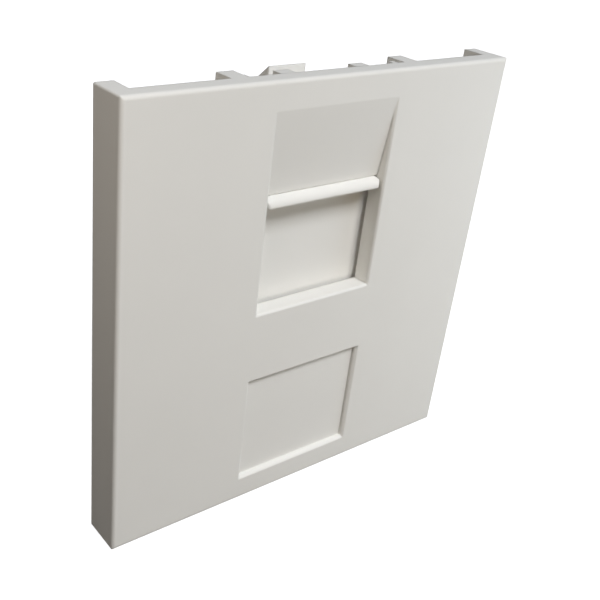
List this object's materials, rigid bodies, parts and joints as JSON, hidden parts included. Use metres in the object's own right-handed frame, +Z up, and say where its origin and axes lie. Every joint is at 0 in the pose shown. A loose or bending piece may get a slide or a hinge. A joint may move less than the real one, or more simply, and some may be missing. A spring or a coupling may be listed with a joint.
{
  "type": "keystone faceplate",
  "caption": "Square snap-in faceplate for a keystone jack: sloped finger relief above a port shut by a sprung sliding shutter, label recess below, snap hooks behind.",
  "frame": {"origin": "middle of the seat plane, the flat backs of the two side walls that bear on the carrier frame", "axes": "+X right seen from the front, +Y back into the wall, +Z up as mounted"},
  "size_m": [0.05, 0.0137, 0.05],
  "materials": {
    "faceplate_plastic": "fine matt moulded",
    "shutter_plastic": "fine matt moulded",
    "jack_frame_plastic": "fine matt moulded",
    "spring_steel": "drawn spring wire"
  },
  "bodies": {
    "plate": {"faceplate": "faceplate_plastic", "jack_frame": "jack_frame_plastic", "spring_left": "spring_steel", "spring_right": "spring_steel"},
    "shutter_slider": {"shutter": "shutter_plastic"}
  },
  "joints": [
    {"name": "shutter_slide", "type": "slide", "parent": "plate", "child": "shutter_slider", "axis": [0, 0, -1], "range_m": [0, 0.0116], "stiffness_N_per_m": 325, "springref_m": -0.003, "deforming": ["spring_left", "spring_right"]}
  ]
}
